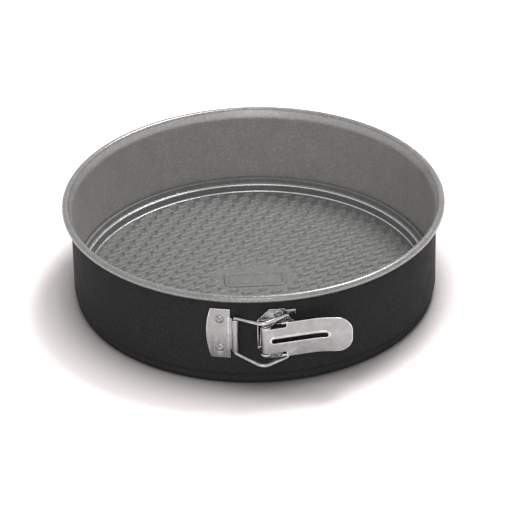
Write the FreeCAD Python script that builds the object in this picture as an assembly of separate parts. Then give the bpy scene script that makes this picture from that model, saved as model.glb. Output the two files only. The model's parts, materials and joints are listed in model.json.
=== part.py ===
# Springform cake pan: a sprung steel band with a wired rim, a lift-out base and an over-centre latch.
# Millimetres, +Z up. The origin is on the pan's axis at table level, and the latch faces -Y.
import FreeCAD
import Part
import math
import os

# band
band_radius = 115.0  # outer face of the wall
pan_height = 65.5
sheet = 0.8
rim_wire_radius = 1.45
rim_fit = 0.05  # between the rim wire and the roll around it
rim_overhang = 3.2  # rim wire's centre beyond the wall's outer face
flare_height = 6.0  # from the top of the rim down to where the wall starts to flare
roll_end = -135.0  # degrees, where the roll around the rim wire stops
seam_x = -20.4  # where the two ends of the band meet
seam_gap = 0.3
back_gap = 0.1  # between the two halves opposite the latch
foot_tuck = 2.2  # bottom edge of the band, inside the wall
foot_edge = 0.8  # height of the upright lip at the very bottom
foot_height = 3.2
foot_bulge = 0.9
ridge_height = 6.2  # ridge that the base sits on, and the groove outside it
ridge_depth = 2.0
ridge_top = 8.2
ridge_bend = 0.8
foot_bend = 0.6
flare_bend = 6.0

# base
floor_top = 7.0
floor_sheet = 0.8
floor_inset = 3.3  # from the hem's inner leg in to the foot of the tray's side
ledge_height = 12.1
ledge_width = 1.4
side_lean = 1.0
base_gap = 0.6  # between the hem and the wall
hem_width = 1.4
hem_top = 15.5
hem_bend = 0.65
floor_bend = 1.3
hem_seat = 0.35  # under the hem's outer leg, above the ridge
plaque_length = 40.0
plaque_width = 17.6
plaque_corner = 3.0
plaque_rise = 0.5
plaque_y = -4.0

# latch, placed from its fulcrum on -Y
plate_clearance = 5.3  # from the top of the latch's plates up to where the wall starts to flare
fulcrum_standoff = 8.0  # from the wall to the pivot pin's centre
pin_radius = 1.5
pin_fit = 0.02  # between the pin and the bracket's ears
running_fit = 0.05
pin_head_radius = 2.4
pin_head = 0.8
bracket_sheet = 1.2
plate_lift = 0.05  # between the wall and a plate riveted on it
plate_half_height = 17.2
ear_gap = 0.3  # between the tongue and each of the bracket's ears
ear_radius = 3.4

# lever
lever_sheet = 1.2
tongue_half_width = 8.5
handle_half_width = 11.9
shoulder_x = 12.6
lever_waist_x = 33.0
lever_waist_drop = 6.1  # how far the waist lies nearer the wall than the tongue
lever_end_x = 52.6
lever_end_kick = 1.4
lever_bend = 40.0
lever_corner = 9.5
slot_start = 3.5
slot_end = 38.0
slot_half_width = 1.6
slot_lip = 1.0
lip_rise = 0.5
eye_wall = 1.15
hook_x = 13.5
hook_standoff = 4.2  # hook's axis nearer the wall than the fulcrum
hook_ear_radius = 2.6

# wire bail
wire_radius = 1.2
barrel_x = -18.0
barrel_lift = 0.4  # between the barrel and the wall
barrel_wall = 0.85
barrel_half_length = 11.2
bail_end_clearance = 0.4  # between a bail end and the lever's ear
bail_side_clearance = 1.9  # between a bail arm and the side of the handle
bail_peak_x = -1.8
bail_peak_rise = 6.4  # corner of the arch in front of the fulcrum
bail_peak_bend = 6.0
bail_corner_bend = 1.5
barrel_end_gap = 1.4  # from the barrel's end to the corner of the bail's arm

# hinge plate and rivets
hinge_sheet = 1.0
hinge_corner_x = -32.5
hinge_bulge_x = -35.2
hinge_edge_gap = 0.5  # from the plate's edge to the seam
bracket_left = -4.5
bracket_spine = 1.0  # right edge of the strip that joins the bracket's two arms
bracket_arm_left = 2.5
bracket_arm_right = 12.0
bracket_arm_margin = 0.8  # from an arm's inner edge to the ear bent up beside it
bracket_finger_end = 18.6
bracket_finger_low = 12.6  # inner edge of the finger at an arm's end, from the latch's middle
bracket_finger_high = 16.0
hinge_rivet_x = -27.0
hinge_rivet_spread = 10.0
bracket_rivet_x = 8.0
bracket_rivet_spread = 14.0
rivet_shank = 1.5
rivet_head = 2.8
rivet_dome = 1.3
rivet_dimple = 1.5  # radius of the hollow in a rivet's head
rivet_dimple_depth = 0.8
rivet_fit = 0.05
rivet_tail = 2.4
rivet_tail_height = 0.25

# worked out
V = FreeCAD.Vector
Z = V(0, 0, 1)
inner_radius = band_radius - sheet
wall_line = band_radius - sheet / 2
roll_inside = rim_wire_radius + rim_fit
roll_line = roll_inside + sheet / 2
rim_x = band_radius + rim_overhang
rim_z = pan_height - roll_inside - sheet
latch_height = pan_height - flare_height - plate_clearance - plate_half_height
seam_angle = -90 + math.degrees(math.asin(seam_x / band_radius))
fulcrum = V(0, -band_radius - fulcrum_standoff, 0)
hook = V(hook_x, fulcrum.y + hook_standoff, 0)
barrel_radius = wire_radius + running_fit + barrel_wall
barrel_ring = band_radius + barrel_lift + barrel_radius
barrel = V(barrel_x, -math.sqrt(barrel_ring**2 - barrel_x**2), 0)
eye_radius = pin_radius + running_fit + eye_wall
ear_inside = tongue_half_width + ear_gap
ear_outside = ear_inside + bracket_sheet
tongue_line = eye_radius - lever_sheet / 2
arm_spread = handle_half_width + bail_side_clearance + wire_radius
arm_narrow = barrel_half_length + barrel_end_gap


def polar(radius, degrees):
    a = math.radians(degrees)
    return radius * math.cos(a), radius * math.sin(a)


def unit(a, b):
    length = math.hypot(b[0] - a[0], b[1] - a[1])
    return (b[0] - a[0]) / length, (b[1] - a[1]) / length


def offset_line(points, side):
    """The line through the points, moved sideways: positive to the left of its direction."""
    moved = []
    ways = [unit(a, b) for a, b in zip(points, points[1:])]
    for i, p in enumerate(points):
        a = ways[max(i - 1, 0)]
        b = ways[min(i, len(ways) - 1)]
        share = side / (1 + a[0] * b[0] + a[1] * b[1])
        moved.append((p[0] - (a[1] + b[1]) * share, p[1] + (a[0] + b[0]) * share))
    return moved


def rounded(points, bends):
    """Edges through 3-D points, with a tangent arc of its own radius at each inner point."""
    edges = []
    last = points[0]
    for before, corner, after, bend in zip(points, points[1:], points[2:], bends):
        a = (before - corner).normalize()
        b = (after - corner).normalize()
        half = a.getAngle(b) / 2
        reach = bend / math.tan(half)
        middle = (a + b).normalize() * (bend / math.sin(half) - bend)
        start = corner + a * reach
        end = corner + b * reach
        if start.distanceToPoint(last) > 1e-6:
            edges.append(Part.LineSegment(last, start).toShape())
        edges.append(Part.Arc(start, corner + middle, end).toShape())
        last = end
    edges.append(Part.LineSegment(last, points[-1]).toShape())
    return edges


def side_bends(points, bends, side):
    """Bend radii for a line moved sideways, so that it stays parallel through every bend."""
    found = []
    for a, b, c, bend in zip(points, points[1:], points[2:], bends):
        turn = (b[0] - a[0]) * (c[1] - b[1]) - (b[1] - a[1]) * (c[0] - b[0])
        found.append(bend - side * math.copysign(1, turn))
    return found


def sheet_edges(points, bends, side, place):
    moved = [place(*p) for p in offset_line(points, side)]
    return rounded(moved, side_bends(points, bends, side))


def section_place(r, z):
    return V(r, 0, z)


def plan_place(x, y):
    return V(x, y, 0)


def join(a, b):
    return Part.LineSegment(a, b).toShape()


def face_of(edges):
    return Part.Face(Part.Wire(Part.__sortEdges__(edges)))


def ends(edges):
    """First and last points of a row of edges."""
    first = edges[0]
    last = edges[-1]
    return first.valueAt(first.FirstParameter), last.valueAt(last.LastParameter)


def strip_face(points, bends, thickness, place):
    """A sheet's section: its middle line, thickened to both sides."""
    left = sheet_edges(points, bends, thickness / 2, place)
    right = sheet_edges(points, bends, -thickness / 2, place)
    l0, l1 = ends(left)
    r0, r1 = ends(right)
    return face_of(left + right + [join(l0, r0), join(l1, r1)])


def band_line():
    """Middle line of the band from its bottom edge up to the roll."""
    flare = (wall_line, pan_height - flare_height)
    across = rim_x - flare[0]
    up = rim_z - flare[1]
    reach = math.hypot(across, up)
    lean = math.atan2(up, across) + math.asin(roll_line / reach)
    run = math.sqrt(reach**2 - roll_line**2)
    tip = (flare[0] + run * math.cos(lean), flare[1] + run * math.sin(lean))
    return [
        (wall_line - foot_tuck, 0.0),
        (wall_line - foot_tuck, foot_edge),
        (wall_line - foot_bulge, foot_height),
        (wall_line - ridge_depth, ridge_height),
        (wall_line, ridge_top),
        flare,
        tip,
    ]


def band_section():
    """The whole section: tucked foot, the ridge that carries the base, wall and wired rim."""
    points = band_line()
    bends = [foot_bend] + [ridge_bend] * 3 + [flare_bend]
    left = sheet_edges(points, bends, sheet / 2, section_place)
    right = sheet_edges(points, bends, -sheet / 2, section_place)
    l0, l1 = ends(left)
    r0, r1 = ends(right)
    start = math.degrees(math.atan2(points[-1][1] - rim_z, points[-1][0] - rim_x))
    middle = (start + roll_end) / 2

    def on_roll(radius, degrees):
        x, z = polar(radius, degrees)
        return V(rim_x + x, 0, rim_z + z)

    outer = roll_inside + sheet
    outside = Part.Arc(l1, on_roll(outer, middle), on_roll(outer, roll_end)).toShape()
    inside = Part.Arc(r1, on_roll(roll_inside, middle), on_roll(roll_inside, roll_end)).toShape()
    cap = join(on_roll(outer, roll_end), on_roll(roll_inside, roll_end))
    return face_of(left + right + [join(l0, r0), outside, inside, cap])


def sweep_band(face, start, end):
    turned = face.copy()
    turned.rotate(V(0, 0, 0), Z, start)
    return turned.revolve(V(0, 0, 0), Z, end - start)


def gap_angle(gap):
    return math.degrees(gap / 2 / band_radius)


def right_span():
    return seam_angle + gap_angle(seam_gap), 90 - gap_angle(back_gap)


def left_span():
    return 90 + gap_angle(back_gap), 360 + seam_angle - gap_angle(seam_gap)


def rim_wire_section():
    circle = Part.Circle(V(rim_x, 0, rim_z), V(0, 1, 0), rim_wire_radius)
    return Part.Face(Part.Wire(circle.toShape()))


def wall_angle(x):
    """Degrees round the pan of a point on the front of the wall."""
    return -90 + math.degrees(math.asin(x / band_radius))


def rivet_holes(x, spread):
    bore = rivet_shank + rivet_fit
    holes = []
    for z in (latch_height - spread, latch_height + spread):
        hole = Part.makeCylinder(bore, 12, V(band_radius - 6, 0, z), V(1, 0, 0))
        hole.rotate(V(0, 0, 0), Z, wall_angle(x))
        holes.append(hole)
    return Part.makeCompound(holes)


def rivets(x, spread, plate):
    """Two domed rivets through a plate and the wall, with flat tails inside the pan."""
    found = []
    seat = band_radius + plate_lift + plate
    tail = inner_radius - rivet_tail_height
    ball = (rivet_head**2 + rivet_dome**2) / (2 * rivet_dome)
    press = (rivet_dimple**2 + rivet_dimple_depth**2) / (2 * rivet_dimple_depth)
    for z in (latch_height - spread, latch_height + spread):
        shank = Part.makeCylinder(rivet_shank, seat - tail, V(tail, 0, z), V(1, 0, 0))
        dome = Part.makeSphere(ball, V(seat + rivet_dome - ball, 0, z))
        slab = Part.makeCylinder(rivet_head, rivet_dome, V(seat, 0, z), V(1, 0, 0))
        button = Part.makeCylinder(rivet_tail, rivet_tail_height, V(tail, 0, z), V(1, 0, 0))
        hollow = Part.makeSphere(press, V(seat + rivet_dome - rivet_dimple_depth + press, 0, z))
        rivet = shank.fuse([dome.common(slab), button]).cut(hollow).removeSplitter()
        rivet.rotate(V(0, 0, 0), Z, wall_angle(x))
        found.append(rivet)
    return Part.makeCompound(found)


def ring(inside, outside, low, high):
    outer = Part.makeCylinder(outside, high - low, V(0, 0, low))
    return outer.cut(Part.makeCylinder(inside, high - low, V(0, 0, low)))


def front_prism(edges):
    """A prism through the front wall, from an outline drawn in X and Z."""
    face = face_of(edges)
    face.translate(V(0, -band_radius * 1.3, 0))
    return face.extrude(V(0, band_radius * 0.6, 0))


def outline(points):
    closed = points + points[:1]
    return [join(V(a[0], 0, a[1]), V(b[0], 0, b[1])) for a, b in zip(closed, closed[1:])]


def obround(start, end, half_width):
    """A slot's outline along X, at the latch's height."""
    low = latch_height - half_width
    high = latch_height + half_width
    left = start + half_width
    right = end - half_width
    return [
        join(V(left, 0, low), V(right, 0, low)),
        Part.Arc(V(right, 0, low), V(end, 0, latch_height), V(right, 0, high)).toShape(),
        join(V(right, 0, high), V(left, 0, high)),
        Part.Arc(V(left, 0, high), V(start, 0, latch_height), V(left, 0, low)).toShape(),
    ]


def upright(x, y, radius, low, high):
    """A cylinder along Z at the latch, between two heights measured from its middle."""
    return Part.makeCylinder(radius, high - low, V(x, y, latch_height + low))


def slab(face, low, high):
    solid = face.extrude(V(0, 0, high - low))
    solid.translate(V(0, 0, latch_height + low))
    return solid


def band_right():
    band = sweep_band(band_section(), *right_span())
    return band.cut(rivet_holes(bracket_rivet_x, bracket_rivet_spread))


def band_left():
    band = sweep_band(band_section(), *left_span())
    return band.cut(rivet_holes(hinge_rivet_x, hinge_rivet_spread))


def rim_wire_right():
    return sweep_band(rim_wire_section(), *right_span())


def rim_wire_left():
    return sweep_band(rim_wire_section(), *left_span())


def hem_leg_bottom(radius):
    """Lowest height at which the hem's leg clears the top of the ridge."""
    slope = math.atan2(ridge_top - ridge_height, ridge_depth)
    on_line = ridge_top - (wall_line - radius) * math.tan(slope)
    return on_line + sheet / 2 / math.cos(slope) + hem_seat


def base_disc():
    """A tray: floor, side with a ledge, and a hem whose outer leg sits on the band's ridge."""
    half = floor_sheet / 2
    leg = inner_radius - base_gap - half
    side = leg - hem_width
    foot = side - floor_inset
    ledge = ledge_height - half
    crown = hem_top - half
    points = [
        (1.0, floor_top - half),
        (foot, floor_top - half),
        (foot + side_lean, ledge),
        (foot + side_lean + ledge_width, ledge),
        (side, crown),
        (leg, crown),
        (leg, hem_leg_bottom(leg + half)),
    ]
    bends = [floor_bend, hem_bend, hem_bend, hem_bend, hem_bend]
    tray = strip_face(points, bends, floor_sheet, section_place)
    middle = Part.makeCylinder(1.2, floor_sheet, V(0, 0, floor_top - floor_sheet))
    return tray.revolve(V(0, 0, 0), Z, 360).fuse([middle, plaque()]).removeSplitter()


def plaque():
    block = Part.makeBox(
        plaque_length,
        plaque_width,
        plaque_rise + floor_sheet / 2,
        V(-plaque_length / 2, plaque_y - plaque_width / 2, floor_top - floor_sheet / 2),
    )
    upright_edges = [e for e in block.Edges if abs(e.tangentAt(e.FirstParameter).z) > 0.9]
    return block.makeFillet(plaque_corner, upright_edges)


def hinge_plate():
    """Curved plate on the band's left end, whose edge curls into a barrel for the wire bail."""
    inside = band_radius + plate_lift
    edge = seam_x - hinge_edge_gap
    low = latch_height - plate_half_height
    high = latch_height + plate_half_height
    shape = [
        join(V(hinge_corner_x, 0, low), V(edge, 0, low)),
        join(V(edge, 0, low), V(edge, 0, high)),
        join(V(edge, 0, high), V(hinge_corner_x, 0, high)),
        Part.Arc(
            V(hinge_corner_x, 0, high),
            V(hinge_bulge_x, 0, latch_height),
            V(hinge_corner_x, 0, low),
        ).toShape(),
    ]
    plate = ring(inside, inside + hinge_sheet, low, high).common(front_prism(shape))
    low = latch_height - barrel_half_length
    high = latch_height + barrel_half_length
    web_window = outline([(edge - 1, low), (barrel_x, low), (barrel_x, high), (edge - 1, high)])
    web_ring = ring(band_radius + barrel_lift, band_radius + barrel_lift + barrel_wall, low, high)
    web = web_ring.common(front_prism(web_window))
    curl = upright(barrel.x, barrel.y, barrel_radius, -barrel_half_length, barrel_half_length)
    bore = upright(
        barrel.x, barrel.y, wire_radius + running_fit, -plate_half_height, plate_half_height
    )
    return plate.fuse([web, curl]).cut(bore).cut(rivet_holes(hinge_rivet_x, hinge_rivet_spread))


def ear(low, high):
    """One of the bracket's ears: from the wall out to a round end around the pivot pin."""
    foot = V(-4.0, -inner_radius, 0), V(10.0, -inner_radius + 1.0, 0)
    left = V(-ear_radius, fulcrum.y, 0)
    right = V(ear_radius, fulcrum.y, 0)
    face = face_of([join(foot[0], left), join(left, right), join(right, foot[1]), join(*foot)])
    arm = slab(face, low, high).fuse(upright(fulcrum.x, fulcrum.y, ear_radius, low, high))
    solid_pan = Part.makeCylinder(band_radius + plate_lift, pan_height)
    return arm.cut(solid_pan)


def lever_bracket():
    """Plate on the band's right end, with two ears that carry the pivot pin."""
    inside = band_radius + plate_lift
    low = latch_height - plate_half_height
    high = latch_height + plate_half_height
    arm = ear_inside - bracket_arm_margin
    half = [
        (bracket_spine, arm),
        (bracket_arm_right, arm),
        (bracket_arm_right, bracket_finger_low),
        (bracket_finger_end, bracket_finger_low),
        (bracket_finger_end, bracket_finger_high),
        (bracket_arm_right, bracket_finger_high),
        (bracket_arm_right, plate_half_height),
        (bracket_arm_left, plate_half_height),
        (bracket_left, ear_outside),
    ]
    points = half + [(x, -z) for x, z in reversed(half)]
    shape = outline([(x, latch_height + z) for x, z in points])
    plate = ring(inside, inside + bracket_sheet, low, high).common(front_prism(shape))
    bracket = plate.fuse([ear(ear_inside, ear_outside), ear(-ear_outside, -ear_inside)])
    hole = upright(fulcrum.x, fulcrum.y, pin_radius + pin_fit, -ear_outside - 1, ear_outside + 1)
    return bracket.cut(hole).cut(rivet_holes(bracket_rivet_x, bracket_rivet_spread))


def lever_pin():
    tip = ear_outside + running_fit
    shank = upright(fulcrum.x, fulcrum.y, pin_radius, -tip, tip)
    top = upright(fulcrum.x, fulcrum.y, pin_head_radius, tip, tip + pin_head)
    bottom = upright(fulcrum.x, fulcrum.y, pin_head_radius, -tip - pin_head, -tip)
    return shank.fuse([top, bottom]).removeSplitter()


def lever_line():
    tongue = fulcrum.y - tongue_line
    waist = tongue + lever_waist_drop
    return [(0.0, tongue), (lever_waist_x, waist), (lever_end_x, waist - lever_end_kick)]


def lever_outline():
    """Tongue, shoulders and a handle with a rounded end."""
    tongue = tongue_half_width
    handle = handle_half_width
    points = [
        (-1.0, -tongue),
        (shoulder_x, -tongue),
        (shoulder_x, -handle),
        (lever_end_x, -handle),
        (lever_end_x, handle),
        (shoulder_x, handle),
        (shoulder_x, tongue),
        (-1.0, tongue),
    ]
    corners = [V(x, 0, latch_height + z) for x, z in points]
    bends = [0.8, 1.2, lever_corner, lever_corner, 1.2, 0.8]
    return rounded(corners, bends) + [join(corners[-1], corners[0])]


def hook_ear(low, high):
    """Lug bent in from the lever's shoulder, with the hole that the bail's end points into."""
    tongue = fulcrum.y - tongue_line
    root = V(hook_x - 3.6, tongue + 1.8, 0), V(hook_x + 5.2, tongue + 3.4, 0)
    left = V(hook_x - hook_ear_radius, hook.y, 0)
    right = V(hook_x + hook_ear_radius, hook.y, 0)
    face = face_of([join(root[0], left), join(left, right), join(right, root[1]), join(*root)])
    return slab(face, low, high).fuse(upright(hook.x, hook.y, hook_ear_radius, low, high))


def lever():
    """Lever: an eye on the pivot pin, a tongue, a slotted handle and two lugs for the bail."""
    line = lever_line()
    reach = handle_half_width
    plate = slab(strip_face(line, [lever_bend], lever_sheet, plan_place), -reach, reach)
    raised = slab(
        strip_face(line, [lever_bend], lever_sheet + 2 * lip_rise, plan_place), -reach, reach
    )
    lip = obround(slot_start - slot_lip, slot_end + slot_lip, slot_half_width + slot_lip)
    body = plate.common(front_prism(lever_outline())).fuse(raised.common(front_prism(lip)))
    eye = upright(fulcrum.x, fulcrum.y, eye_radius, -tongue_half_width, tongue_half_width)
    inner = handle_half_width - lever_sheet
    lugs = [hook_ear(inner, handle_half_width), hook_ear(-handle_half_width, -inner)]
    body = body.fuse([eye] + lugs)
    bore = upright(fulcrum.x, fulcrum.y, pin_radius + running_fit, -reach, reach)
    hooks = upright(hook.x, hook.y, wire_radius + running_fit, -reach - 1, reach + 1)
    slot = front_prism(obround(slot_start, slot_end, slot_half_width))
    return body.cut([bore, hooks, slot])


def wire_bail():
    """Bent wire: a straight in the barrel, two arms that arch past the fulcrum, and inturned ends."""
    end = handle_half_width + bail_end_clearance
    peak = V(bail_peak_x, fulcrum.y - bail_peak_rise, 0)
    half = [
        hook + V(0, 0, end),
        hook + V(0, 0, arm_spread),
        peak + V(0, 0, arm_spread),
        barrel + V(0, 0, arm_narrow),
    ]
    points = half + [V(p.x, p.y, -p.z) for p in reversed(half)]
    hook_bend = 1.6
    bends = [hook_bend, bail_peak_bend, bail_corner_bend]
    path = Part.Wire(rounded(points, bends + bends[::-1]))
    circle = Part.Wire(Part.Circle(points[0], Z, wire_radius).toShape())
    bail = path.makePipeShell([circle], True, True)
    bail.translate(V(0, 0, latch_height))
    return bail


NODES = {
    "band_right": band_right,
    "band_left": band_left,
    "rim_wire_right": rim_wire_right,
    "rim_wire_left": rim_wire_left,
    "base_disc": base_disc,
    "hinge_plate": hinge_plate,
    "hinge_plate_rivets": lambda: rivets(hinge_rivet_x, hinge_rivet_spread, hinge_sheet),
    "lever_bracket": lever_bracket,
    "bracket_rivets": lambda: rivets(bracket_rivet_x, bracket_rivet_spread, bracket_sheet),
    "lever_pin": lever_pin,
    "lever_handle": lever,
    "wire_bail": wire_bail,
}

os.makedirs("parts", exist_ok=True)
for name, make in NODES.items():
    shape = make()
    box = shape.optimalBoundingBox(True, False)
    print(name, shape.isValid(), len(shape.Solids), round(shape.Volume, 1),
          [round(v, 2) for v in (box.XMin, box.YMin, box.ZMin, box.XMax, box.YMax, box.ZMax)])
    shape.exportStep(f"parts/{name}.step")
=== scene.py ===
# %% [markdown]
# # A springform pan
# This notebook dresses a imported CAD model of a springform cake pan. The CAD frame fixes where
# every piece is and how it moves. Each cell makes one piece or one finish, in metres, in it.

# %% Load the frame
import json
import math

import bmesh
import bpy
from mathutils import Matrix, Vector

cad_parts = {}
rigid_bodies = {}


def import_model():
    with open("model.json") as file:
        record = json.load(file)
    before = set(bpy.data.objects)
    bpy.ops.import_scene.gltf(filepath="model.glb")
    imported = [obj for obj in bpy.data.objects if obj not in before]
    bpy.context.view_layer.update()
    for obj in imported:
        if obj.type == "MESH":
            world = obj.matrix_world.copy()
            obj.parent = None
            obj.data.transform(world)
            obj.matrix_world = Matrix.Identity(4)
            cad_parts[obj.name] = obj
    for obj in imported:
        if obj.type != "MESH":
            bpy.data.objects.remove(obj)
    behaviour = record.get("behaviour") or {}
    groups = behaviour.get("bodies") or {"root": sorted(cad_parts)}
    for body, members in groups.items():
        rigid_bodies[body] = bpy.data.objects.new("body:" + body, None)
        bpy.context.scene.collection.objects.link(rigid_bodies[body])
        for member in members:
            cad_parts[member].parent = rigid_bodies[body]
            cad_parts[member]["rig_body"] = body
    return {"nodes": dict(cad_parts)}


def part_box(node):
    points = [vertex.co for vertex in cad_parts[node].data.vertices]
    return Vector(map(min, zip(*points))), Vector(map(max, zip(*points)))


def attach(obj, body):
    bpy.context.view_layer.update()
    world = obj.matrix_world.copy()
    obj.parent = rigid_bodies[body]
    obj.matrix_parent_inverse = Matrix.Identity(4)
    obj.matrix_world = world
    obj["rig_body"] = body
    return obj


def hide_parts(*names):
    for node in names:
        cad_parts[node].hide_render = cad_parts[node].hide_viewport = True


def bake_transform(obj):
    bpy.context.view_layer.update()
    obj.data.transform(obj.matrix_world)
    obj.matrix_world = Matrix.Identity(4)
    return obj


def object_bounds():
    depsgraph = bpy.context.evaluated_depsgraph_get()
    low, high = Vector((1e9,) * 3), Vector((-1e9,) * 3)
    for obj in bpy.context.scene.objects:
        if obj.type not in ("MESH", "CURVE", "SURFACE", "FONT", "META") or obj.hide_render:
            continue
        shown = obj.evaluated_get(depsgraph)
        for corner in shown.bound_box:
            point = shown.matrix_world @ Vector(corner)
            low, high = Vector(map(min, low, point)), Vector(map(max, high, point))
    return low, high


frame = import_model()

cad_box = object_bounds()
scene = bpy.context.scene
print("CAD box", [tuple(round(v, 4) for v in p) for p in cad_box])

# %% [markdown]
# ## The camera
# A long lens a couple of metres away looks down on the pan at about thirty degrees, a little to
# the left of the latch and rolled by one degree. Aiming the camera itself, instead of shifting
# the lens, keeps the pan centred from every other side too.

# %% Camera
band_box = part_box("band_right")
PAN_HEIGHT = band_box[1].z
RIM_RADIUS = band_box[1].x
CAMERA_AZIMUTH = math.radians(-2.67)
CAMERA_ELEVATION = math.radians(30.03)
CAMERA_DISTANCE = 2.001
CAMERA_ROLL = math.radians(1.19)
CAMERA_LENS = 220.3
SENSOR_WIDTH = 36
FAR_CLIP = 20
AIM_RIGHT = 0.001722
AIM_DOWN = 0.019893


def aim_camera():
    """A camera whose aim is turned a little right of and below the middle of the rim."""
    flat = math.cos(CAMERA_ELEVATION)
    back = Vector((
        math.sin(CAMERA_AZIMUTH) * flat,
        -math.cos(CAMERA_AZIMUTH) * flat,
        math.sin(CAMERA_ELEVATION),
    ))
    place = Vector((0, 0, PAN_HEIGHT)) + back * CAMERA_DISTANCE
    right = Vector((math.cos(CAMERA_AZIMUTH), math.sin(CAMERA_AZIMUTH), 0))
    up = back.cross(right)
    aim = (-back + right * AIM_RIGHT - up * AIM_DOWN).normalized()
    side = right * math.cos(CAMERA_ROLL) - up * math.sin(CAMERA_ROLL)
    side = (side - aim * side.dot(aim)).normalized()
    top = side.cross(aim)
    data = bpy.data.cameras.new("camera")
    data.lens = CAMERA_LENS
    data.sensor_width = SENSOR_WIDTH
    data.clip_end = FAR_CLIP
    camera = bpy.data.objects.new("camera", data)
    turn = Matrix((side, top, -aim)).transposed().to_4x4()
    camera.matrix_world = Matrix.Translation(place) @ turn
    scene.collection.objects.link(camera)
    scene.camera = camera
    print("camera", [round(v, 3) for v in place], "lens", CAMERA_LENS)


aim_camera()

# %% [markdown]
# ## Shader building blocks
# Materials here are node trees made in code. Two effects are shared, so each is a node group: the
# fine metallic speckle of a baked non-stick coat, and the faint smears and lines of plated steel.
# A few helpers come first: one adds a node and wires it up, the others make the usual small ones.

# %% Node helpers


def add_node(tree, kind, inputs=None, **settings):
    """A node with its settings, and its inputs set to values or linked from sockets."""
    node = tree.nodes.new(kind)
    for name, value in settings.items():
        setattr(node, name, value)
    for name, value in (inputs or {}).items():
        socket = node.inputs[name]
        if isinstance(value, bpy.types.NodeSocket):
            tree.links.new(value, socket)
        else:
            socket.default_value = value
    return node


def math_node(tree, operation, a, b=0.0, c=0.0):
    return add_node(tree, "ShaderNodeMath", {0: a, 1: b, 2: c}, operation=operation).outputs[0]


def ramp(tree, value, low, high, out_low=0.0, out_high=1.0):
    """The value carried from one range to another, smoothly, and held at the ends."""
    inputs = {
        "Value": value, "From Min": low, "From Max": high, "To Min": out_low, "To Max": out_high
    }
    node = add_node(tree, "ShaderNodeMapRange", inputs, interpolation_type="SMOOTHSTEP")
    return node.outputs[0]


def separate_xyz(tree, vector, axis):
    return add_node(tree, "ShaderNodeSeparateXYZ", {0: vector}).outputs[axis]


def scale_vector(tree, vector, scale):
    inputs = {0: vector, "Scale": scale}
    return add_node(tree, "ShaderNodeVectorMath", inputs, operation="SCALE").outputs[0]


def new_group(name, inputs, outputs):
    """An empty shader node group, and its input and output nodes."""
    tree = bpy.data.node_groups.new(name, "ShaderNodeTree")
    for label, default in inputs.items():
        socket = tree.interface.new_socket(label, in_out="INPUT", socket_type="NodeSocketFloat")
        socket.default_value = default
    for label in outputs:
        tree.interface.new_socket(label, in_out="OUTPUT", socket_type="NodeSocketFloat")
    return tree, tree.nodes.new("NodeGroupInput"), tree.nodes.new("NodeGroupOutput")


def noise(tree, place, scale, detail, distortion=0.0):
    inputs = {"Vector": place, "Scale": scale, "Detail": detail, "Distortion": distortion}
    return add_node(tree, "ShaderNodeTexNoise", inputs).outputs["Fac"]


def place_group(tree, group):
    return add_node(tree, "ShaderNodeGroup", node_tree=group)


# %% [markdown]
# The coat is paint with metal flakes in it. Small cells pick out flakes that catch the light and a
# softer noise mottles the film between them. The flakes and a grain add up to a slight texture.

# %% Coat group
FLAKE_SIZE = 0.0007
MOTTLE_SIZE = 0.012
FLAKE_START = 0.55  # cells with a random shade above this are flakes
FLAKE_HEIGHT = 0.4  # of the grain's height
MOTTLE_RANGE = (0.3, 0.7)  # the part of the noise that is stretched to 0..1


def make_coat_group():
    sizes = {"Flake size": FLAKE_SIZE, "Mottle size": MOTTLE_SIZE}
    tree, given, out = new_group("non-stick coat", sizes, ["Flakes", "Mottle", "Height"])
    place = add_node(tree, "ShaderNodeTexCoord").outputs["Object"]
    flake_scale = math_node(tree, "DIVIDE", 1.0, given.outputs["Flake size"])
    cells = add_node(tree, "ShaderNodeTexVoronoi", {"Vector": place, "Scale": flake_scale})
    shade = add_node(tree, "ShaderNodeSeparateColor", {"Color": cells.outputs["Color"]})
    flakes = ramp(tree, shade.outputs[0], FLAKE_START, 1.0)
    mottle_scale = math_node(tree, "DIVIDE", 1.0, given.outputs["Mottle size"])
    mottle = noise(tree, place, mottle_scale, 4.0)
    grain = noise(tree, place, flake_scale, 2.0)
    height = math_node(tree, "MULTIPLY_ADD", flakes, FLAKE_HEIGHT, grain)
    tree.links.new(flakes, out.inputs["Flakes"])
    tree.links.new(ramp(tree, mottle, *MOTTLE_RANGE), out.inputs["Mottle"])
    tree.links.new(height, out.inputs["Height"])
    print(tree.name, "nodes", len(tree.nodes))
    return tree


COAT = make_coat_group()

# %% [markdown]
# Plated sheet steel is bright but never perfectly clean. Long stretched noise gives faint polishing
# lines, and a large soft noise gives smears, so the reflections break up a little.

# %% Plate group
LINE_SIZE = 0.0004
SMEAR_SIZE = 0.006
LINE_STRETCH = (0.06, 0.06, 1.0)  # the lines run level round the latch
SMEAR_HEIGHT = 3.0  # of the lines' height
SMEAR_SWIRL = 0.6
SMEAR_RANGE = (0.35, 0.7)


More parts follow.
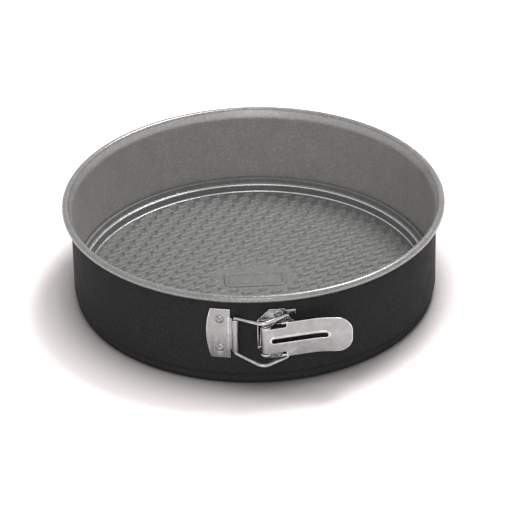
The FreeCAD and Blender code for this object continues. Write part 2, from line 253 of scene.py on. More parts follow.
def make_plate_group():
    sizes = {"Line size": LINE_SIZE, "Smear size": SMEAR_SIZE}
    tree, given, out = new_group("plated steel", sizes, ["Lines", "Smears", "Height"])
    place = add_node(tree, "ShaderNodeTexCoord").outputs["Object"]
    mapped = add_node(tree, "ShaderNodeMapping", {"Vector": place, "Scale": LINE_STRETCH})
    line_scale = math_node(tree, "DIVIDE", 1.0, given.outputs["Line size"])
    lines = noise(tree, mapped.outputs["Vector"], line_scale, 3.0)
    smear_scale = math_node(tree, "DIVIDE", 1.0, given.outputs["Smear size"])
    smears = noise(tree, place, smear_scale, 3.0, SMEAR_SWIRL)
    height = math_node(tree, "MULTIPLY_ADD", smears, SMEAR_HEIGHT, lines)
    tree.links.new(lines, out.inputs["Lines"])
    tree.links.new(ramp(tree, smears, *SMEAR_RANGE), out.inputs["Smears"])
    tree.links.new(height, out.inputs["Height"])
    print(tree.name, "nodes", len(tree.nodes))
    return tree


PLATE = make_plate_group()

# %% [markdown]
# ## The finishes
# Inside, the pan is a warm mid-grey coat with a metallic glint; outside it is nearly black and
# duller. The latch is bright nickel plate. Every shader value that is the same all over the piece
# sits on the shader's own socket, and only what changes over the surface comes from a group.

# %% Materials
FLAKE_SHARE = 0.85  # how much of the change in colour comes from the flakes
MOTTLE_SHARE = 0.15
LOW_PAINTED_SHADE = 0.94  # painted shade: colour of the coat's low places, whose raised tops are painted lighter
COAT_TEXTURE = 0.00004
PLATE_TEXTURE = 0.00003
LINE_RANGE = (0.3, 0.7)


def new_material(name, **sockets):
    material = bpy.data.materials.new(name)
    material.use_nodes = True
    tree = material.node_tree
    shader = tree.nodes["Principled BSDF"]
    for label, value in sockets.items():
        shader.inputs[label.replace("_", " ")].default_value = value
    return material, tree, shader


def mix_colours(tree, share, dark, light):
    inputs = {"Factor": share, "A": (*dark, 1), "B": (*light, 1)}
    return add_node(tree, "ShaderNodeMix", inputs, data_type="RGBA").outputs["Result"]


def add_bump(tree, shader, height, depth):
    bump = add_node(tree, "ShaderNodeBump", {"Height": height, "Distance": depth})
    tree.links.new(bump.outputs["Normal"], shader.inputs["Normal"])


def coated_steel(name, dark, light, rough, metal, specular, painted_light=None):
    """A baked coat: flakes lighten it, the mottle varies its gloss, and painted light makes raised
    places paler.
    """
    material, tree, shader = new_material(name, Metallic=metal, Specular_IOR_Level=specular)
    coat = place_group(tree, COAT)
    flakes = math_node(tree, "MULTIPLY", coat.outputs["Flakes"], FLAKE_SHARE)
    share = math_node(tree, "MULTIPLY_ADD", coat.outputs["Mottle"], MOTTLE_SHARE, flakes)
    colour = mix_colours(tree, share, dark, light)
    # Painted light and shade: higher places are painted lighter, lower ones darker.
    if painted_light:
        place = add_node(tree, "ShaderNodeTexCoord").outputs["Object"]
        painted_shade = ramp(tree, separate_xyz(tree, place, "Z"), *painted_light, LOW_PAINTED_SHADE, 1.0)
        colour = scale_vector(tree, colour, painted_shade)
    tree.links.new(colour, shader.inputs["Base Color"])
    gloss = ramp(tree, coat.outputs["Mottle"], 0.0, 1.0, *rough)
    tree.links.new(gloss, shader.inputs["Roughness"])
    add_bump(tree, shader, coat.outputs["Height"], COAT_TEXTURE)
    return material


def plated_steel(name, dark, light, rough):
    """Bright plate: metal whose gloss varies with its smears and fine lines."""
    material, tree, shader = new_material(name, Metallic=1.0)
    plate = place_group(tree, PLATE)
    colour = mix_colours(tree, plate.outputs["Smears"], dark, light)
    tree.links.new(colour, shader.inputs["Base Color"])
    gloss = ramp(tree, plate.outputs["Lines"], *LINE_RANGE, *rough)
    tree.links.new(gloss, shader.inputs["Roughness"])
    add_bump(tree, shader, plate.outputs["Height"], PLATE_TEXTURE)
    return material


# %% [markdown]
# Each finish is a dark and a light colour, a range of roughness, and for a coat its share of metal
# and its specular level. The base has four: a plain coat, a floor with raised bumps painted paler
# as painted light, a riser facing the wall painted darker as painted shade, and painted highlight
# bends.

# %% Finishes
FLOOR_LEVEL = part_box("base_disc")[0].z + 0.0008
PAINTED_LIGHT_DEPTH = 0.0008
PAINTED_LIGHT_RANGE = (FLOOR_LEVEL, FLOOR_LEVEL + PAINTED_LIGHT_DEPTH)
INNER_COAT = coated_steel(
    "inner coat", (0.385, 0.377, 0.368), (0.53, 0.520, 0.508), (0.34, 0.42), 0.4, 0.5
)
OUTER_COAT = coated_steel(
    "outer coat", (0.034, 0.034, 0.034), (0.048, 0.048, 0.047), (0.56, 0.66), 0.0, 0.02
)
# The rim: a glossier copy of the inner coat, its colour painted darker as painted shade.
RIM_GLOSS_SHADE_COAT = coated_steel(
    "rim gloss and painted shade", (0.23, 0.227, 0.223), (0.33, 0.326, 0.32), (0.24, 0.32), 0.6, 0.4
)
BASE_COAT = coated_steel(
    "base coat", (0.21, 0.209, 0.206), (0.31, 0.309, 0.304), (0.48, 0.56), 0.12, 0.25
)
# The floor coat, whose raised bumps are painted lighter as painted light.
FLOOR_COAT = coated_steel(
    "floor coat", (0.18, 0.179, 0.176), (0.27, 0.269, 0.265), (0.44, 0.52), 0.15, 0.3, PAINTED_LIGHT_RANGE
)
# Painted shade: a darker copy of the base coat, for the tray's riser and the plaque's groove.
PAINTED_SHADE_COAT = coated_steel(
    "painted shade riser", (0.15, 0.149, 0.147), (0.22, 0.219, 0.215), (0.48, 0.56), 0.12, 0.25
)
# Painted highlight: a far paler, glossier coat for the tray's bends.
HIGHLIGHT_BEND_COAT = coated_steel(
    "painted highlight bend", (0.54, 0.54, 0.54), (0.70, 0.70, 0.70), (0.20, 0.28), 0.8, 0.5
)
NICKEL = plated_steel("nickel plate", (0.26, 0.26, 0.262), (0.305, 0.305, 0.308), (0.24, 0.34))
# Painted highlight: a far paler, glossier plate for the latch's bevelled edges.
HIGHLIGHT_EDGE_PLATE = plated_steel("painted highlight edge", (0.72, 0.72, 0.72), (0.84, 0.84, 0.84), (0.16, 0.24))
WIRE_PLATE = plated_steel("wire plate", (0.36, 0.36, 0.36), (0.46, 0.46, 0.46), (0.14, 0.22))
STEEL = plated_steel("drawn steel", (0.20, 0.198, 0.195), (0.28, 0.277, 0.273), (0.30, 0.42))
print("materials", len(bpy.data.materials))

# %% [markdown]
# ## Sheet-metal sections
# The band, the rolled rim and the base tray are all sheet metal turned about the pan's axis. A
# section is drawn once as the sheet's middle line, with round bends, then thickened and swept.

# %% Section helpers
BEND_STEPS = 6
STEPS_PER_DEGREE = 1
SAME_POINT = 1e-7
SHEET_SHARP = 40  # degrees between faces from which an edge is kept sharp


def bend_line(points, bends):
    """Points of a line with round bends: straight runs joined by tangent arcs."""
    line = [Vector(points[0])]
    for before, corner, after, bend in zip(points, points[1:], points[2:], bends):
        corner = Vector(corner)
        a = (Vector(before) - corner).normalized()
        b = (Vector(after) - corner).normalized()
        half = a.angle(b) / 2
        middle = corner + (a + b).normalized() * (bend / math.sin(half))
        start = corner + a * (bend / math.tan(half)) - middle
        end = corner + b * (bend / math.tan(half)) - middle
        for i in range(BEND_STEPS + 1):
            line.append(middle + start.slerp(end, i / BEND_STEPS) * bend)
    return line + [Vector(points[-1])]


def drop_repeats(line):
    kept = [line[0]]
    for p in line[1:]:
        if (p - kept[-1]).length > SAME_POINT:
            kept.append(p)
    return kept


def thicken(line, sheet):
    """The two sides of a sheet whose middle is the line: left of its direction, then right."""
    line = drop_repeats(line)
    left = []
    right = []
    for i, p in enumerate(line):
        way = (line[min(i + 1, len(line) - 1)] - line[max(i - 1, 0)]).normalized()
        normal = Vector((-way.y, way.x))
        left.append(p + normal * sheet / 2)
        right.append(p - normal * sheet / 2)
    return left, right


def finish_mesh(name, verts, faces, marks, materials):
    """An object from plain lists, smooth except where faces meet at a sharp angle."""
    mesh = bpy.data.meshes.new(name)
    mesh.from_pydata(verts, [], faces)
    for material in materials:
        mesh.materials.append(material)
    mesh.polygons.foreach_set("material_index", marks)
    piece = bpy.data.objects.new(name, mesh)
    scene.collection.objects.link(piece)
    mend_mesh(mesh, SHEET_SHARP)
    return piece


def mend_mesh(mesh, sharp):
    """Merges doubled points, turns faces outwards and marks the sharp edges."""
    work = bmesh.new()
    work.from_mesh(mesh)
    bmesh.ops.remove_doubles(work, verts=work.verts, dist=SAME_POINT)
    bmesh.ops.recalc_face_normals(work, faces=work.faces)
    work.to_mesh(mesh)
    work.free()
    mesh.shade_smooth()
    mesh.set_sharp_from_angle(angle=math.radians(sharp))


def sweep(name, sides, start, end, materials):
    """A closed section turned about Z from start to end degrees. sides is a list of point lists,
    one for each material, that follow each other round the section."""
    steps = max(2, round(abs(end - start) * STEPS_PER_DEGREE))
    section = [p for side in sides for p in side]
    marks_round = []
    for mark, side in enumerate(sides):
        marks_round += [mark] * len(side)
    full = abs(end - start) >= 360
    turns = steps if full else steps + 1
    verts = []
    for k in range(turns):
        a = math.radians(start + (end - start) * k / steps)
        verts += [(p.x * math.cos(a), p.x * math.sin(a), p.y) for p in section]
    count = len(section)
    faces = []
    marks = []
    for k in range(steps):
        here = k * count
        there = (k + 1) % turns * count
        for i in range(count):
            j = (i + 1) % count
            faces.append((here + i, here + j, there + j, there + i))
            marks.append(marks_round[i])
    if not full:
        faces += [tuple(range(count)), tuple(range((turns - 1) * count, turns * count))]
        marks += [len(sides) - 1] * 2
    return finish_mesh(name, verts, faces, marks, materials)


# %% [markdown]
# ## The band
# One strip of steel makes the whole wall. Its lower edge tucks in, a ridge above it carries the
# base, and its top flares and rolls around a wire. The coat that lines the inside goes over the
# roll with the sheet, so the rim is grey and the wall's outside is black. The section is drawn here
# again, finer than the CAD's triangles, from the same sizes.

# %% Band sizes
SHEET = 0.0008
ROLL_INSIDE = 0.0015
RIM_WIRE_RING = RIM_RADIUS - SHEET - ROLL_INSIDE
RIM_STANDOFF = 0.0032
BAND_RADIUS = RIM_WIRE_RING - RIM_STANDOFF
WALL_LINE = BAND_RADIUS - SHEET / 2
ROLL_HEIGHT = PAN_HEIGHT - ROLL_INSIDE - SHEET
FOOT_TUCK = 0.0022
FOOT_EDGE = 0.0008
FOOT_BULGE = 0.0009
FOOT_HEIGHT = 0.0032
RIDGE_DEPTH = 0.0020
RIDGE_HEIGHT = 0.0062
RIDGE_TOP = 0.0082
FLARE_HEIGHT = 0.0060
ROLL_END = -135
ROLL_STEPS = 30
BAND_BENDS = (0.0006, 0.0008, 0.0008, 0.0008, 0.0060)


def band_section():
    """Middle line of the band's sheet, from its foot to the end of the roll round the rim wire."""
    roll_line = ROLL_INSIDE + SHEET / 2
    flare = Vector((WALL_LINE, PAN_HEIGHT - FLARE_HEIGHT))
    wire = Vector((RIM_WIRE_RING, ROLL_HEIGHT))
    reach = wire - flare
    lean = math.atan2(reach.y, reach.x) + math.asin(roll_line / reach.length)
    run = math.sqrt(reach.length_squared - roll_line**2)
    tip = flare + Vector((math.cos(lean), math.sin(lean))) * run
    points = [
        (WALL_LINE - FOOT_TUCK, 0.0),
        (WALL_LINE - FOOT_TUCK, FOOT_EDGE),
        (WALL_LINE - FOOT_BULGE, FOOT_HEIGHT),
        (WALL_LINE - RIDGE_DEPTH, RIDGE_HEIGHT),
        (WALL_LINE, RIDGE_TOP),
        tuple(flare),
        tuple(tip),
    ]
    line = bend_line(points, BAND_BENDS)
    first = math.degrees(math.atan2(tip.y - wire.y, tip.x - wire.x))
    for i in range(1, ROLL_STEPS + 1):
        a = math.radians(first + (ROLL_END - first) * i / ROLL_STEPS)
        line.append(wire + Vector((math.cos(a), math.sin(a))) * roll_line)
    return line


BAND_LEFT, BAND_RIGHT = thicken(band_section(), SHEET)
BAND_SIDES = [BAND_LEFT, list(reversed(BAND_RIGHT))]
print("band radius", round(BAND_RADIUS, 4), "section points", len(BAND_LEFT))

# %% [markdown]
# The two ends of the strip meet behind the latch. When the latch opens the strip springs apart, and
# its back flexes. So the front quarters ride rigidly on the two ends, and the back half is a piece
# of its own. Everything that moves there moves outwards, clear of the base.

# %% Band pieces
SEAM_X = -0.0204
SEAM_GAP = 0.0001
RIM_GLOSS_SHADE_REACH = 0.0028  # from the rim wire's centre, how far the rim's glossier coat with its painted shade goes
SEAM_ANGLE = -90 + math.degrees(math.asin(SEAM_X / BAND_RADIUS))
SEAM_HALF_GAP = math.degrees(SEAM_GAP / 2 / BAND_RADIUS)


def band_set(name, sides, materials, nodes):
    """The right front, left front and back of a strip that goes round the pan."""
    right = sweep(name + "_front_right", sides, SEAM_ANGLE + SEAM_HALF_GAP, 0, materials)
    left = sweep(name + "_front_left", sides, 180, 360 + SEAM_ANGLE - SEAM_HALF_GAP, materials)
    back = sweep(name + "_back", sides, 0, 180, materials)
    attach(right, "pan")
    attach(left, "left_end")
    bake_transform(back)
    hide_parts(nodes[0])
    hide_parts(nodes[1])
    print(name, "faces", [len(piece.data.polygons) for piece in (right, left, back)])
    return right, left, back


def gloss_and_shade_rim(band):
    """Gives the inner coat's faces near the rim wire the rim's glossier coat, painted darker as
    painted shade.
    """
    for face in band.data.polygons:
        away = math.hypot(face.center.x, face.center.y) - RIM_WIRE_RING
        near = math.hypot(away, face.center.z - ROLL_HEIGHT) < RIM_GLOSS_SHADE_REACH
        if face.material_index == 0 and near:
            face.material_index = 2


BAND_NODES = ("band_right", "band_left")
band_coats = [INNER_COAT, OUTER_COAT, RIM_GLOSS_SHADE_COAT]
for band in band_set("band", BAND_SIDES, band_coats, BAND_NODES):
    gloss_and_shade_rim(band)

# %% [markdown]
# A steel wire fills the rolled rim and stiffens it. Only its ends show, where the strip parts.

# %% Rim wire
RIM_WIRE_RADIUS = 0.00145
RIM_WIRE_POINTS = 16


def circle_section(middle, radius, points):
    turns = [2 * math.pi * i / points for i in range(points)]
    return [middle + Vector((math.cos(a), math.sin(a))) * radius for a in turns]


WIRE_MIDDLE = Vector((RIM_WIRE_RING, ROLL_HEIGHT))
rim_wire = circle_section(WIRE_MIDDLE, RIM_WIRE_RADIUS, RIM_WIRE_POINTS)
band_set("rim_wire", [rim_wire], [STEEL], ("rim_wire_right", "rim_wire_left"))

# %% [markdown]
# ## The base tray
# The loose base is a shallow tray: a floor, a side with a ledge in it, and a hem that sits on the
# band's ridge. Its section is turned all the way round. The coat is painted far paler along its two
# upper bends as a painted highlight, and darker on the upright faces between them as painted shade.

# %% Base tray
base_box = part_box("base_disc")
HEM_RADIUS = base_box[1].x
HEM_TOP = base_box[1].z
FLOOR_SHEET = 0.0008
FLOOR_TOP = base_box[0].z + FLOOR_SHEET
HEM_WIDTH = 0.0014
FLOOR_INSET = 0.0033
LEDGE_HEIGHT = 0.0121
LEDGE_WIDTH = 0.0014
SIDE_LEAN = 0.0010
LEG_BOTTOM = 0.0083
HUB = 0.0005  # the section starts this far from the axis, and one more point closes it there
TRAY_BENDS = (0.0013, 0.00065, 0.00065, 0.00065, 0.00065)
FLOOR_RADIUS = HEM_RADIUS - FLOOR_SHEET / 2 - HEM_WIDTH - FLOOR_INSET
# The two bends whose faces get the painted highlight.
HIGHLIGHT_BENDS = (
    Vector((FLOOR_RADIUS + SIDE_LEAN + 0.0002, LEDGE_HEIGHT)),
    Vector((FLOOR_RADIUS, FLOOR_TOP + 0.0003)),
)
HIGHLIGHT_REACH = 0.0009
RISER_START = FLOOR_RADIUS - 0.002
UPRIGHT = 0.6  # faces whose normal's height is below this are the tray's upright faces


def base_section():
    half = FLOOR_SHEET / 2
    leg = HEM_RADIUS - half
    side = leg - HEM_WIDTH
    points = [
        (HUB, FLOOR_TOP - half),
        (FLOOR_RADIUS, FLOOR_TOP - half),
        (FLOOR_RADIUS + SIDE_LEAN, LEDGE_HEIGHT - half),
        (FLOOR_RADIUS + SIDE_LEAN + LEDGE_WIDTH, LEDGE_HEIGHT - half),
        (side, HEM_TOP - half),
        (leg, HEM_TOP - half),
        (leg, LEG_BOTTOM),
    ]
    return bend_line(points, TRAY_BENDS)


def make_base():
    top, under = thicken(base_section(), FLOOR_SHEET)
    axis_top = Vector((0, FLOOR_TOP))
    axis_under = Vector((0, FLOOR_TOP - FLOOR_SHEET))
    sides = [[axis_top] + top, list(reversed(under)) + [axis_under]]
    tray = sweep("base_tray", sides, 0, 360, [BASE_COAT, OUTER_COAT, HIGHLIGHT_BEND_COAT, PAINTED_SHADE_COAT])
    for face in tray.data.polygons:
        place = Vector((math.hypot(face.center.x, face.center.y), face.center.z))
        # Faces near the two bends get the painted highlight, upright faces the painted shade.
        if face.material_index == 0 and place.x > RISER_START:
            if min((place - bend).length for bend in HIGHLIGHT_BENDS) < HIGHLIGHT_REACH:
                face.material_index = 2
            elif abs(face.normal.z) < UPRIGHT:
                face.material_index = 3
    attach(tray, "base")
    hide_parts("base_disc")
    print("base tray faces", len(tray.data.polygons))


make_base()

# %% [markdown]
# ## The pressed floor
# The floor is pressed with a square lattice of low wedges, turned a little over a quarter of a
# right angle. It repeats hundreds of times, so a Geometry Nodes tree raises it from a plain disc:
# each point's place inside its lattice cell gives its height. The disc comes first, as a square
# grid cut round, with its edge turned down and closed underneath.

# %% Floor grid
FLOOR_CELL = 0.00070
FLOOR_SKIRT = 0.0003
FLOOR_MARGIN = 0.0004
RELIEF_LIFT = 0.00002
RELIEF_SHARP = 60


def close_below(work, level):
    """Turns the open edge of a sheet straight down to a level, and fills it there."""
    edges = [e for e in work.edges if e.is_boundary]
    turned = bmesh.ops.extrude_edge_only(work, edges=edges)["geom"]
    for v in turned:
        if isinstance(v, bmesh.types.BMVert):
            v.co.z = level
    low = [e for e in turned if isinstance(e, bmesh.types.BMEdge) and e.is_boundary]
    bmesh.ops.edgeloop_fill(work, edges=low)


def keep_mesh(name, work, materials, sharp):
    mesh = bpy.data.meshes.new(name)
    work.to_mesh(mesh)
    work.free()
    for material in materials:
        mesh.materials.append(material)
    piece = bpy.data.objects.new(name, mesh)
    scene.collection.objects.link(piece)
    mend_mesh(mesh, sharp)
    return piece


def disc_grid(name, radius, cell, top, skirt, material):
    """A closed flat plate: a square grid cut to a disc, with its edge turned down and closed."""
    work = bmesh.new()
    half = math.ceil(radius / cell)
    corner = {}

    def point(i, j):
        if (i, j) not in corner:
            x, y = i * cell, j * cell
            away = math.hypot(x, y)
            if away > radius:
                x, y = x * radius / away, y * radius / away
            corner[i, j] = work.verts.new((x, y, top))
        return corner[i, j]

    for i in range(-half, half):
        for j in range(-half, half):
            if math.hypot(i + 0.5, j + 0.5) * cell < radius:
                cell_corners = ((i, j), (i + 1, j), (i + 1, j + 1), (i, j + 1))
                work.faces.new([point(*c) for c in cell_corners])
    close_below(work, top - skirt)
    return keep_mesh(name, work, [material], SHEET_SHARP)


# %% [markdown]
# Each wedge climbs slowly along its cell's diagonal to a crest and then drops steeply, so that it
# catches the light on one side and throws a dark line on the other. Its ends are rounded off, and
# the wedges fade out near the floor's edge and round a clear patch for the plaque.

# %% Floor relief tree
RELIEF_INPUTS = {
    "Pitch": ("NodeSocketFloat", 0.0083),
    "Turn": ("NodeSocketFloat", math.radians(26.5)),
    "Rise": ("NodeSocketFloat", 0.00190),
    "Climb start": ("NodeSocketFloat", -0.50),  # this and the next four are shares of the pitch
    "Crest": ("NodeSocketFloat", 0.12),
    "Drop": ("NodeSocketFloat", 0.17),
    "End start": ("NodeSocketFloat", 0.36),
    "End": ("NodeSocketFloat", 0.50),
    "Edge radius": ("NodeSocketFloat", 0.1078),
    "Edge fade": ("NodeSocketFloat", 0.004),
    "Top": ("NodeSocketFloat", 0.0),
    "Clear middle": ("NodeSocketVector", (0.0, -0.002, 0.0)),
    "Clear reach": ("NodeSocketVector", (0.0240, 0.0140, 1.0)),
}
CLEAR_FADE = (0.95, 1.15)  # of the clear patch's reach
DIAGONAL = 0.5**0.5


def geo_vector(tree, operation, a, b=None, output=0):
    inputs = {0: a} if b is None else {0: a, 1: b}
    return add_node(tree, "ShaderNodeVectorMath", inputs, operation=operation).outputs[output]


def flat_length(tree, vector):
    """Length of a vector seen from above."""
    flat = geo_vector(tree, "MULTIPLY", vector, (1.0, 1.0, 0.0))
    return geo_vector(tree, "LENGTH", flat, output="Value")


def place_in_cell(tree, place, given):
    """Where a point lies in its lattice cell: from -0.5 to 0.5 of the pitch, each way."""
    turned = add_node(
        tree, "ShaderNodeVectorRotate",
        {"Vector": place, "Angle": given["Turn"]}, rotation_type="Z_AXIS",
    ).outputs[0]
    flat = geo_vector(tree, "MULTIPLY", turned, (1.0, 1.0, 0.0))
    cells = scale_vector(tree, flat, math_node(tree, "DIVIDE", 1.0, given["Pitch"]))
    return geo_vector(tree, "SUBTRACT", geo_vector(tree, "FRACTION", cells), (0.5, 0.5, 0.0))


def wedge_height(tree, inside, given):
    """A wedge from 0 to 1: a slow climb along the diagonal, a steep drop and rounded ends."""
    ahead = geo_vector(tree, "DOT_PRODUCT", inside, (DIAGONAL, -DIAGONAL, 0.0), output="Value")
    aside = geo_vector(tree, "DOT_PRODUCT", inside, (DIAGONAL, DIAGONAL, 0.0), output="Value")
    climb = ramp(tree, ahead, given["Climb start"], given["Crest"])
    foot = math_node(tree, "ADD", given["Crest"], given["Drop"])
    drop = ramp(tree, ahead, foot, given["Crest"])
    ends = ramp(tree, math_node(tree, "ABSOLUTE", aside), given["End"], given["End start"])
    return math_node(tree, "MULTIPLY", math_node(tree, "MINIMUM", climb, drop), ends)


def off_plaque(tree, place, given):
    """0 on a rounded patch in the middle and 1 away from it."""
    away = geo_vector(tree, "SUBTRACT", place, given["Clear middle"])
    share = geo_vector(tree, "DIVIDE", away, given["Clear reach"])
    squared = geo_vector(tree, "MULTIPLY", share, share)
    return ramp(tree, math_node(tree, "SQRT", flat_length(tree, squared)), *CLEAR_FADE)


def make_relief_tree(material):
    tree = bpy.data.node_groups.new("pressed lattice", "GeometryNodeTree")
    tree.interface.new_socket("Geometry", in_out="INPUT", socket_type="NodeSocketGeometry")
    for name, (kind, default) in RELIEF_INPUTS.items():
        socket = tree.interface.new_socket(name, in_out="INPUT", socket_type=kind)
        socket.default_value = default
    tree.interface.new_socket("Geometry", in_out="OUTPUT", socket_type="NodeSocketGeometry")
    given = tree.nodes.new("NodeGroupInput").outputs
    place = add_node(tree, "GeometryNodeInputPosition").outputs[0]
    wedge = wedge_height(tree, place_in_cell(tree, place, given), given)
    fade_start = math_node(tree, "SUBTRACT", given["Edge radius"], given["Edge fade"])
    in_edge = ramp(tree, flat_length(tree, place), fade_start, given["Edge radius"], 1.0, 0.0)
    height = math_node(tree, "MULTIPLY", wedge, given["Rise"])
    height = math_node(tree, "MULTIPLY", height, in_edge)
    height = math_node(tree, "MULTIPLY", height, off_plaque(tree, place, given))
    on_top = math_node(tree, "GREATER_THAN", separate_xyz(tree, place, "Z"), given["Top"])
    lift = add_node(tree, "ShaderNodeCombineXYZ", {"Z": height}).outputs[0]
    moved = add_node(
        tree, "GeometryNodeSetPosition",
        {"Geometry": given["Geometry"], "Selection": on_top, "Offset": lift},
    ).outputs[0]
    real = add_node(tree, "GeometryNodeRealizeInstances", {0: moved}).outputs[0]
    coat = add_node(tree, "GeometryNodeSetMaterial", {"Geometry": real, "Material": material})
    add_node(tree, "NodeGroupOutput", {0: coat.outputs[0]})
    print(tree.name, "nodes", len(tree.nodes))
    return tree


def keep_modifier(piece, modifier):
    """Turns a modifier's result into the piece's plain mesh, and removes the modifier."""
    graph = bpy.context.evaluated_depsgraph_get()
    made = bpy.data.meshes.new_from_object(piece.evaluated_get(graph))
    piece.modifiers.remove(modifier)
    piece.data = made


def run_tree(piece, tree, **values):
    """Runs a Geometry Nodes tree on a piece, with some of its inputs set by their identifiers."""
    modifier = piece.modifiers.new("relief", "NODES")
    modifier.node_group = tree
    names = {s.name: s.identifier for s in tree.interface.items_tree if s.in_out == "INPUT"}
    for name, value in values.items():
        modifier[names[name]] = value
    keep_modifier(piece, modifier)


def make_floor():
    top = FLOOR_TOP + RELIEF_LIFT
    radius = FLOOR_RADIUS - FLOOR_MARGIN
    floor = disc_grid("floor_relief", radius, FLOOR_CELL, top, FLOOR_SKIRT, FLOOR_COAT)
    tree = make_relief_tree(FLOOR_COAT)
    run_tree(floor, tree, Top=top - FLOOR_SKIRT / 2)
    floor.data.shade_smooth()
    floor.data.set_sharp_from_angle(angle=math.radians(RELIEF_SHARP))
    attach(floor, "base")
    print("floor relief faces", len(floor.data.polygons))


make_floor()

# %% [markdown]
# A bare plaque is pressed near the middle of the floor: a raised rounded border with a shallow
# field inside it. The height follows the distance from a rounded rectangle.

# %% Plaque
PLAQUE_LENGTH = 0.0400
PLAQUE_WIDTH = 0.0176
PLAQUE_CORNER = 0.0030
PLAQUE_MIDDLE = (0.0, -0.004)
PLAQUE_BORDER = 0.0014
PLAQUE_RISE = 0.0010
PLAQUE_CELL = 0.0003
PLAQUE_SINK = 0.00002
FIELD_SHARE = 0.3  # height of the field inside the border, as a share of the border's
SHADE_RING = (-2.1, -1.0)  # painted shade on the foot of the border on its inner side, in widths of the border


def from_border(x, y):
    """Signed distance from the middle line of the plaque's border."""
    across = abs(x) - PLAQUE_LENGTH / 2 + PLAQUE_BORDER + PLAQUE_CORNER
    along = abs(y) - PLAQUE_WIDTH / 2 + PLAQUE_BORDER + PLAQUE_CORNER
    outside = math.hypot(max(across, 0), max(along, 0))
    return outside + min(max(across, along), 0) - PLAQUE_CORNER


def plaque_height(x, y):
    gap = from_border(x, y) / PLAQUE_BORDER
    border = max(0.0, 1 - gap**2) * PLAQUE_RISE
    inside = min(max(-gap, 0.0), 1.0)
    return max(border, PLAQUE_RISE * FIELD_SHARE * inside)


def make_plaque():
    """A closed plate whose top carries the border, sunk a little into the floor."""
    across = round(PLAQUE_LENGTH / PLAQUE_CELL)
    along = round(PLAQUE_WIDTH / PLAQUE_CELL)
    base = FLOOR_TOP + RELIEF_LIFT
    work = bmesh.new()
    rows = []
    for j in range(along + 1):
        y = -PLAQUE_WIDTH / 2 + PLAQUE_WIDTH * j / along
        row = []
        for i in range(across + 1):
            x = -PLAQUE_LENGTH / 2 + PLAQUE_LENGTH * i / across
            z = base + plaque_height(x, y) - PLAQUE_SINK
            row.append(work.verts.new((x + PLAQUE_MIDDLE[0], y + PLAQUE_MIDDLE[1], z)))
        rows.append(row)
    for low, high in zip(rows, rows[1:]):
        for i in range(across):
            work.faces.new((low[i], low[i + 1], high[i + 1], high[i]))
    close_below(work, base - FLOOR_SKIRT)
    plaque = keep_mesh("floor_plaque", work, [FLOOR_COAT, PAINTED_SHADE_COAT], RELIEF_SHARP)
    for face in plaque.data.polygons:
        x = face.center.x - PLAQUE_MIDDLE[0]
        y = face.center.y - PLAQUE_MIDDLE[1]
        gap = from_border(x, y) / PLAQUE_BORDER
        # Faces in the groove inside the border get the painted shade.
        if face.center.z > base and SHADE_RING[0] < gap < SHADE_RING[1]:
            face.material_index = 1
    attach(plaque, "base")
    print("plaque faces", len(plaque.data.polygons))


make_plaque()

# %% [markdown]
# ## The latch
# The latch's plates, lever, pin and wire keep their CAD shape. Real stampings have soft edges that
# catch the light, so each piece is a copy of its CAD node with its flat faces joined up again and a
# small bevel along every edge, whose faces get a far paler plate as a painted highlight.

# %% Soft-edged latch pieces
CAD_SAME_POINT = 1e-6
FLAT_ANGLE = math.radians(0.5)
SHARP_ANGLE = math.radians(30)
BEVEL_SEGMENTS = 3


def joined_copy(mesh, name):
    """A copy of a CAD node's loose triangles, with its points merged and its flat faces joined."""
    mesh = mesh.copy()
    mesh.name = name
    work = bmesh.new()
    work.from_mesh(mesh)
    bmesh.ops.remove_doubles(work, verts=work.verts, dist=CAD_SAME_POINT)
    bmesh.ops.dissolve_limit(work, angle_limit=FLAT_ANGLE, verts=work.verts, edges=work.edges)
    work.to_mesh(mesh)
    work.free()
    return mesh


def bevel_edges(piece, width):
    """Rounds the sharp edges, gives them the second material, a painted highlight, and keeps the
    result.
    """
    modifier = piece.modifiers.new("edges", "BEVEL")
    modifier.width = width
    modifier.segments = BEVEL_SEGMENTS
    modifier.limit_method = "ANGLE"
    modifier.angle_limit = SHARP_ANGLE
    modifier.material = 1
    modifier.use_clamp_overlap = False
    keep_modifier(piece, modifier)


def soften(node, name, material, bevel):
    """A copy of a CAD node with rounded edges, that stands for the node and rides on its body."""
    source = frame["nodes"][node]
    piece = bpy.data.objects.new(name, joined_copy(source.data, name))
    scene.collection.objects.link(piece)
    piece.data.materials.clear()
    piece.data.materials.append(material)
    # The second material is the painted highlight for the bevelled edges.
    piece.data.materials.append(HIGHLIGHT_EDGE_PLATE)
    if bevel:
        bevel_edges(piece, bevel)
    piece.data.shade_smooth()
    piece.data.set_sharp_from_angle(angle=SHARP_ANGLE)
    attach(piece, source["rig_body"])
    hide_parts(node)
    print(name, "faces", len(piece.data.polygons))


soften("lever_handle", "lever", NICKEL, 0.00030)
soften("hinge_plate", "hinge_leaf", NICKEL, 0.00028)
soften("lever_bracket", "lever_mount", NICKEL, 0.00022)
soften("lever_pin", "pivot_pin", NICKEL, 0.00020)
soften("wire_bail", "bail", WIRE_PLATE, 0.00025)
soften("hinge_plate_rivets", "hinge_rivets", NICKEL, 0)
soften("bracket_rivets", "mount_rivets", NICKEL, 0)

# %% [markdown]
# ## Floor, light and background
# The pan stands on a white sweep. Rays that show the floor itself, straight to the camera, in a
# reflection or through glass, see it brighter than the light that bounces off it. So it reads as
# white while the coats keep their own tone. Ambient occlusion deepens the pan's contact shadow.

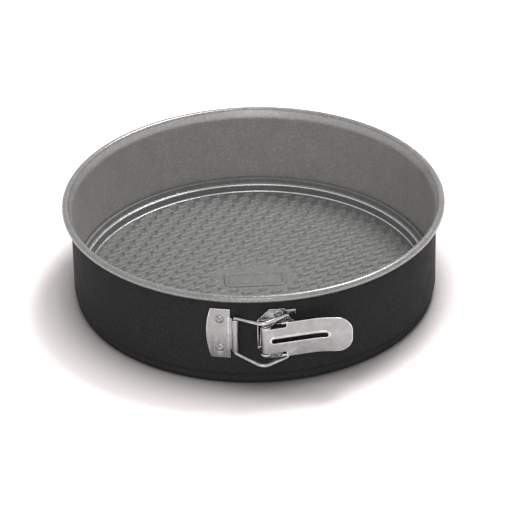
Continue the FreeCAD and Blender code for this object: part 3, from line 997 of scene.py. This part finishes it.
# %% Studio helpers
FLOOR_SIZE = 6.0
FLOOR_DROP = 0.0001
FLOOR_TINT = (1.04, 0.982, 0.978)
FLOOR_BRIGHTNESS = 1.55
BOUNCE_COLOUR = (0.7, 0.7, 0.7, 1)
CONTACT_REACH = 0.054
CONTACT_SAMPLES = 12
CONTACT_OPEN = (0.33, 0.99)  # openness at which the contact shade is deepest, and gone
CONTACT_SHADE = (0.12, 1.0)


def seen_directly(tree):
    """1 for rays that show the background: to the camera, in a reflection or through glass."""
    path = add_node(tree, "ShaderNodeLightPath").outputs
    mirrored = math_node(tree, "MAXIMUM", path["Is Glossy Ray"], path["Is Transmission Ray"])
    return math_node(tree, "MAXIMUM", path["Is Camera Ray"], mirrored)


def by_ray(tree, other, shown):
    """One shader for rays that show the background, and another for the rest."""
    inputs = {0: seen_directly(tree), 1: other, 2: shown}
    return add_node(tree, "ShaderNodeMixShader", inputs).outputs[0]


def make_stage():
    mesh = bpy.data.meshes.new("studio_floor")
    s = FLOOR_SIZE / 2
    mesh.from_pydata([(-s, -s, 0), (s, -s, 0), (s, s, 0), (-s, s, 0)], [], [(0, 1, 2, 3)])
    ground = bpy.data.objects.new("studio_floor", mesh)
    scene.collection.objects.link(ground)
    ground.location.z = cad_box[0].z - FLOOR_DROP
    material = bpy.data.materials.new("studio floor")
    material.use_nodes = True
    tree = material.node_tree
    tree.nodes.clear()
    near = add_node(
        tree, "ShaderNodeAmbientOcclusion", {"Distance": CONTACT_REACH}, samples=CONTACT_SAMPLES
    )
    shade = ramp(tree, near.outputs["AO"], *CONTACT_OPEN, *CONTACT_SHADE)
    brightness = math_node(tree, "MULTIPLY", shade, FLOOR_BRIGHTNESS)
    pale = scale_vector(tree, FLOOR_TINT, brightness)
    seen = add_node(tree, "ShaderNodeBsdfDiffuse", {"Color": pale}).outputs[0]
    bounced = add_node(tree, "ShaderNodeBsdfDiffuse", {"Color": BOUNCE_COLOUR}).outputs[0]
    out = add_node(tree, "ShaderNodeOutputMaterial", {"Surface": by_ray(tree, bounced, seen)})
    out.is_active_output = True
    mesh.materials.append(material)
    print("studio floor at", round(ground.location.z, 4))


make_stage()

# %% [markdown]
# The light is plain and even: a pale sky that is dimmer near the horizon, a soft box above and
# behind, and a weak one in front. The sky shows as white wherever it is seen.

# %% Studio light
WHITE = (1, 1, 1, 1)
SKY_HORIZON = 0.28
SKY_OVERHEAD = 0.69
SKY_OVERHEAD_FROM = 0.75  # height of a unit direction from which the sky is at its brightest


def make_world():
    world = bpy.data.worlds.new("studio")
    scene.world = world
    world.use_nodes = True
    tree = world.node_tree
    tree.nodes.clear()
    way = add_node(tree, "ShaderNodeTexCoord").outputs["Generated"]
    height = separate_xyz(tree, way, "Z")
    strength = ramp(tree, height, 0.0, SKY_OVERHEAD_FROM, SKY_HORIZON, SKY_OVERHEAD)
    fill = add_node(tree, "ShaderNodeBackground", {"Color": WHITE, "Strength": strength})
    white = add_node(tree, "ShaderNodeBackground", {"Color": WHITE, "Strength": 1.0})
    shown = by_ray(tree, fill.outputs[0], white.outputs[0])
    add_node(tree, "ShaderNodeOutputWorld", {"Surface": shown})


def softbox(name, place, size, power):
    """A square lamp that faces the pan."""
    data = bpy.data.lights.new(name, "AREA")
    data.shape = "SQUARE"
    data.size = size
    data.energy = power
    lamp = bpy.data.objects.new(name, data)
    lamp.location = place
    lamp.rotation_mode = "QUATERNION"
    lamp.rotation_quaternion = Vector(place).to_track_quat("Z", "Y")
    scene.collection.objects.link(lamp)
    print(name, "size", size, "power", power)


make_world()
softbox("top_softbox", (0.38, 0.45, 1.18), 0.42, 10)
softbox("front_softbox", (-0.1, -1.2, 0.8), 0.6, 3)
scene.view_settings.view_transform = "Standard"
